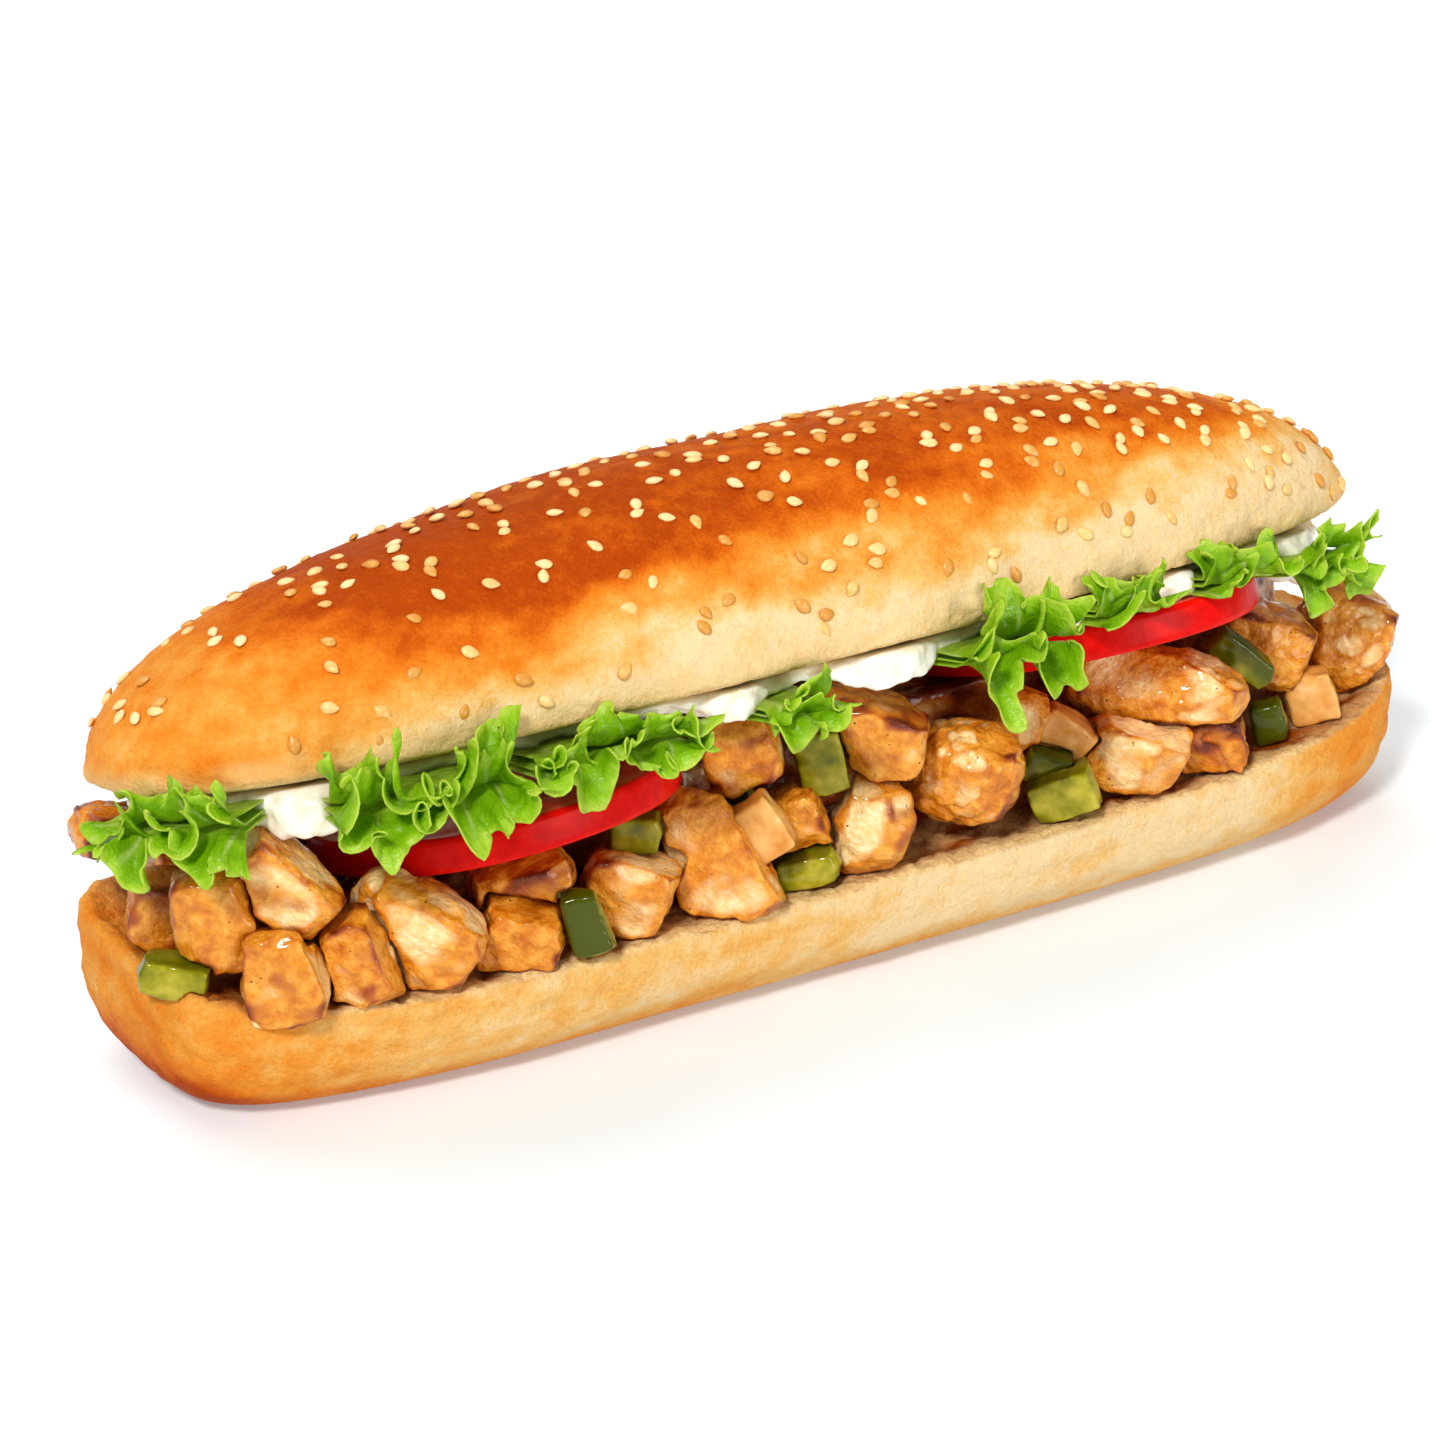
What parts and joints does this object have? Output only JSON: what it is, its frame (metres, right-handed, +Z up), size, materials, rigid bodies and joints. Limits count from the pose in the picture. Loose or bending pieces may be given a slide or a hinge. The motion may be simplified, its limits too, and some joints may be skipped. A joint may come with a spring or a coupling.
{
  "type": "chicken sandwich",
  "caption": "Long sesame roll, cut and propped open at the front, filled with fried chicken dice, green pepper, onion, tomato slices, frilly lettuce and mayonnaise.",
  "frame": {"origin": "middle of the bounding box at the bottom, on the surface that the sandwich rests on", "axes": "+X along the roll, +Z up, -Y to the front, where the sandwich gapes open"},
  "size_m": [0.2856, 0.105, 0.0972],
  "materials": {
    "crust": "satin golden crust, browned on top and pale low on the sides",
    "chicken": "moist fried chicken with brown glaze",
    "pepper": "cooked green pepper, glossy",
    "onion": "fried onion, translucent and glossy",
    "tomato": "wet red tomato",
    "lettuce": "fresh green leaf, soft sheen",
    "mayonnaise": "creamy white, glossy"
  },
  "bodies": {
    "root": {"chicken_01": "chicken", "chicken_02": "chicken", "chicken_03": "chicken", "chicken_04": "chicken", "chicken_05": "chicken", "chicken_06": "chicken", "chicken_07": "chicken", "chicken_08": "chicken", "chicken_09": "chicken", "chicken_10": "chicken", "chicken_11": "chicken", "chicken_12": "chicken", "chicken_13": "chicken", "chicken_14": "chicken", "chicken_15": "chicken", "chicken_16": "chicken", "chicken_17": "chicken", "chicken_18": "chicken", "chicken_19": "chicken", "chicken_20": "chicken", "chicken_21": "chicken", "chicken_22": "chicken", "chicken_bed": "chicken", "lettuce_leaf_01": "lettuce", "lettuce_leaf_02": "lettuce", "lettuce_leaf_03": "lettuce", "lettuce_leaf_04": "lettuce", "lettuce_leaf_05": "lettuce", "lettuce_leaf_06": "lettuce", "lettuce_leaf_07": "lettuce", "lettuce_leaf_08": "lettuce", "lettuce_leaf_09": "lettuce", "lettuce_leaf_10": "lettuce", "lettuce_leaf_11": "lettuce", "mayonnaise": "mayonnaise", "onion_01": "onion", "onion_02": "onion", "onion_03": "onion", "pepper_01": "pepper", "pepper_02": "pepper", "pepper_03": "pepper", "pepper_04": "pepper", "pepper_05": "pepper", "pepper_06": "pepper", "pepper_07": "pepper", "pepper_08": "pepper", "pepper_09": "pepper", "pepper_10": "pepper", "roll_crown": "crust", "roll_heel": "crust", "tomato_slice_1": "tomato", "tomato_slice_2": "tomato"}
  },
  "joints": []
}
